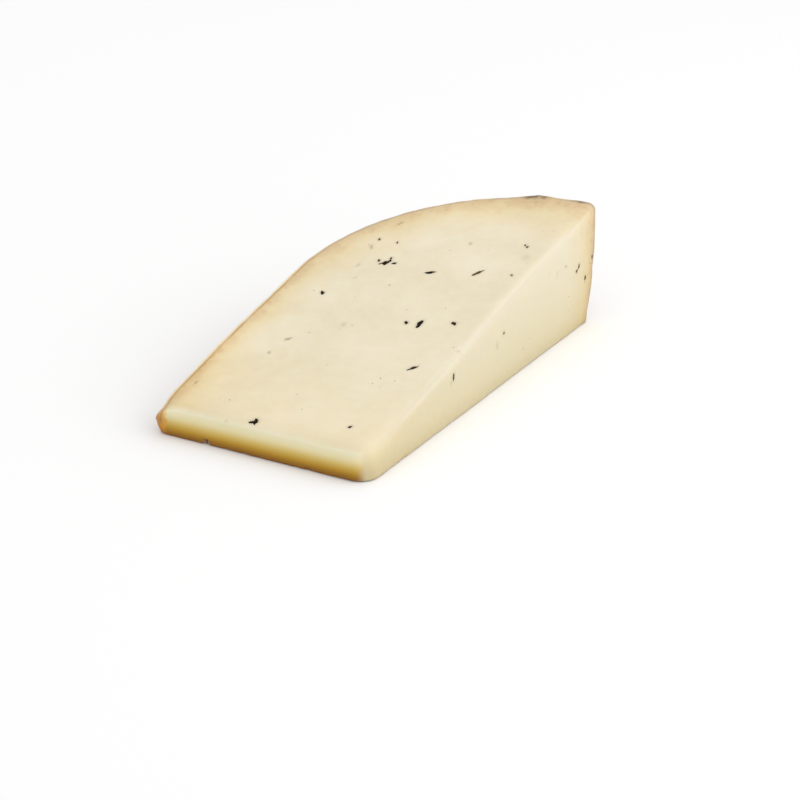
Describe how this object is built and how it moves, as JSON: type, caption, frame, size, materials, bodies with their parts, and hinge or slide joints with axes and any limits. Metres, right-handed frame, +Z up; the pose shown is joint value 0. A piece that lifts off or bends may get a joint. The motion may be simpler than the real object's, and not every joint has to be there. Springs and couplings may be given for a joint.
{
  "type": "truffle gouda block",
  "caption": "Wedge of pale yellow semi-hard cheese with dark truffle flecks, cut from a round wheel, with a thin tan rind on two sides and a blunt nose.",
  "frame": {"origin": "middle of the bounding box's base, on the surface that the block rests on", "axes": "+Z up; +Y along the block from the blunt nose to the wheel's rounded side; -X towards the wheel's flat rind face, +X towards the cut through the wheel's middle"},
  "size_m": [0.0602, 0.121, 0.0329],
  "materials": {
    "paste": "smooth cut cheese with a slight waxy sheen",
    "truffle": "dull dark brown to black flecks"
  },
  "bodies": {
    "root": {"cheese": "paste"}
  },
  "joints": []
}
